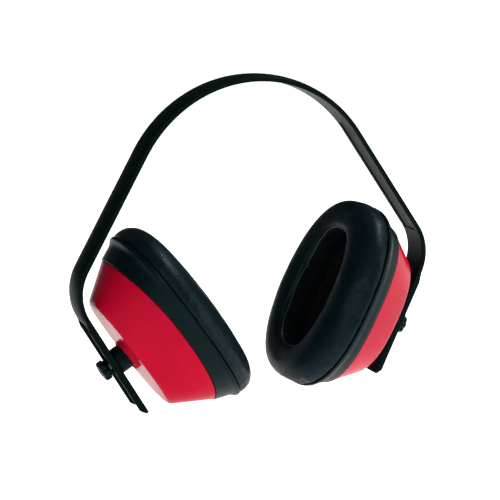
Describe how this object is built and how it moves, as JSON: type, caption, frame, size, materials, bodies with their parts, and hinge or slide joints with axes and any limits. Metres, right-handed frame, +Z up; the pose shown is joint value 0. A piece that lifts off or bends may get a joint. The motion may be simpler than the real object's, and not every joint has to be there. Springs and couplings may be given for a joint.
{
  "type": "earmuff hearing protector",
  "caption": "Over-head earmuff hearing protector: slotted plastic headband with sliding, rocking ear cups and soft oval ear cushions.",
  "frame": {"origin": "middle of the footprint, on the surface that the tips of the end legs stand on", "axes": "+X from the left ear cup to the right ear cup, +Y from face to nape, +Z up to the top of the headband"},
  "size_m": [0.196, 0.0848, 0.1658],
  "materials": {
    "headband_plastic": "satin black moulded plastic",
    "black_plastic": "satin black moulded plastic",
    "red_plastic": "glossy red moulded plastic",
    "white_plastic": "natural moulded plastic",
    "steel": "zinc-plated steel",
    "vinyl": "grained black vinyl skin",
    "foam": "open-cell dark foam"
  },
  "bodies": {
    "headband": {"headband": "headband_plastic"},
    "left_slider": {"left_slider_collar": "black_plastic"},
    "left_knob": {"left_adjuster_knob": "black_plastic", "left_clamp_stud": "steel"},
    "left_stem": {"left_ball_stem": "steel"},
    "left_cup": {"left_cup_shell": "red_plastic", "left_socket_cap": "white_plastic", "left_foam_liner": "foam", "left_rim_ring": "black_plastic", "left_cushion_plate": "black_plastic", "left_cushion_skin": "vinyl", "left_cushion_foam": "foam"},
    "right_slider": {"right_slider_collar": "black_plastic"},
    "right_knob": {"right_adjuster_knob": "black_plastic", "right_clamp_stud": "steel"},
    "right_stem": {"right_ball_stem": "steel"},
    "right_cup": {"right_cup_shell": "red_plastic", "right_socket_cap": "white_plastic", "right_foam_liner": "foam", "right_rim_ring": "black_plastic", "right_cushion_plate": "black_plastic", "right_cushion_skin": "vinyl", "right_cushion_foam": "foam"}
  },
  "joints": [
    {"name": "left_height_slide", "type": "slide", "parent": "headband", "child": "left_slider", "axis": [0.4695, 0, -0.8829], "range_m": [-0.006, 0.014]},
    {"name": "left_knob_turn", "type": "hinge", "parent": "left_slider", "child": "left_knob", "pos_m": [-0.07895, 0, 0.02613], "axis": [-0.8829, 0, -0.4695], "range_deg": [0, 180]},
    {"name": "left_cup_swivel", "type": "hinge", "parent": "left_slider", "child": "left_stem", "pos_m": [-0.06447, 0, 0.03383], "axis": [-0.8829, 0, -0.4695], "range_deg": [-20, 20]},
    {"name": "left_cup_rock", "type": "hinge", "parent": "left_stem", "child": "left_cup", "pos_m": [-0.06447, 0, 0.03383], "axis": [0, -1, 0], "range_deg": [-10.4, 3.6]},
    {"name": "right_height_slide", "type": "slide", "parent": "headband", "child": "right_slider", "axis": [-0.4695, 0, -0.8829], "range_m": [-0.006, 0.014]},
    {"name": "right_knob_turn", "type": "hinge", "parent": "right_slider", "child": "right_knob", "pos_m": [0.07895, 0, 0.02613], "axis": [0.8829, 0, -0.4695], "range_deg": [0, 180]},
    {"name": "right_cup_swivel", "type": "hinge", "parent": "right_slider", "child": "right_stem", "pos_m": [0.06447, 0, 0.03383], "axis": [0.8829, 0, -0.4695], "range_deg": [-20, 20]},
    {"name": "right_cup_rock", "type": "hinge", "parent": "right_stem", "child": "right_cup", "pos_m": [0.06447, 0, 0.03383], "axis": [0, 1, 0], "range_deg": [-8, 6]}
  ]
}
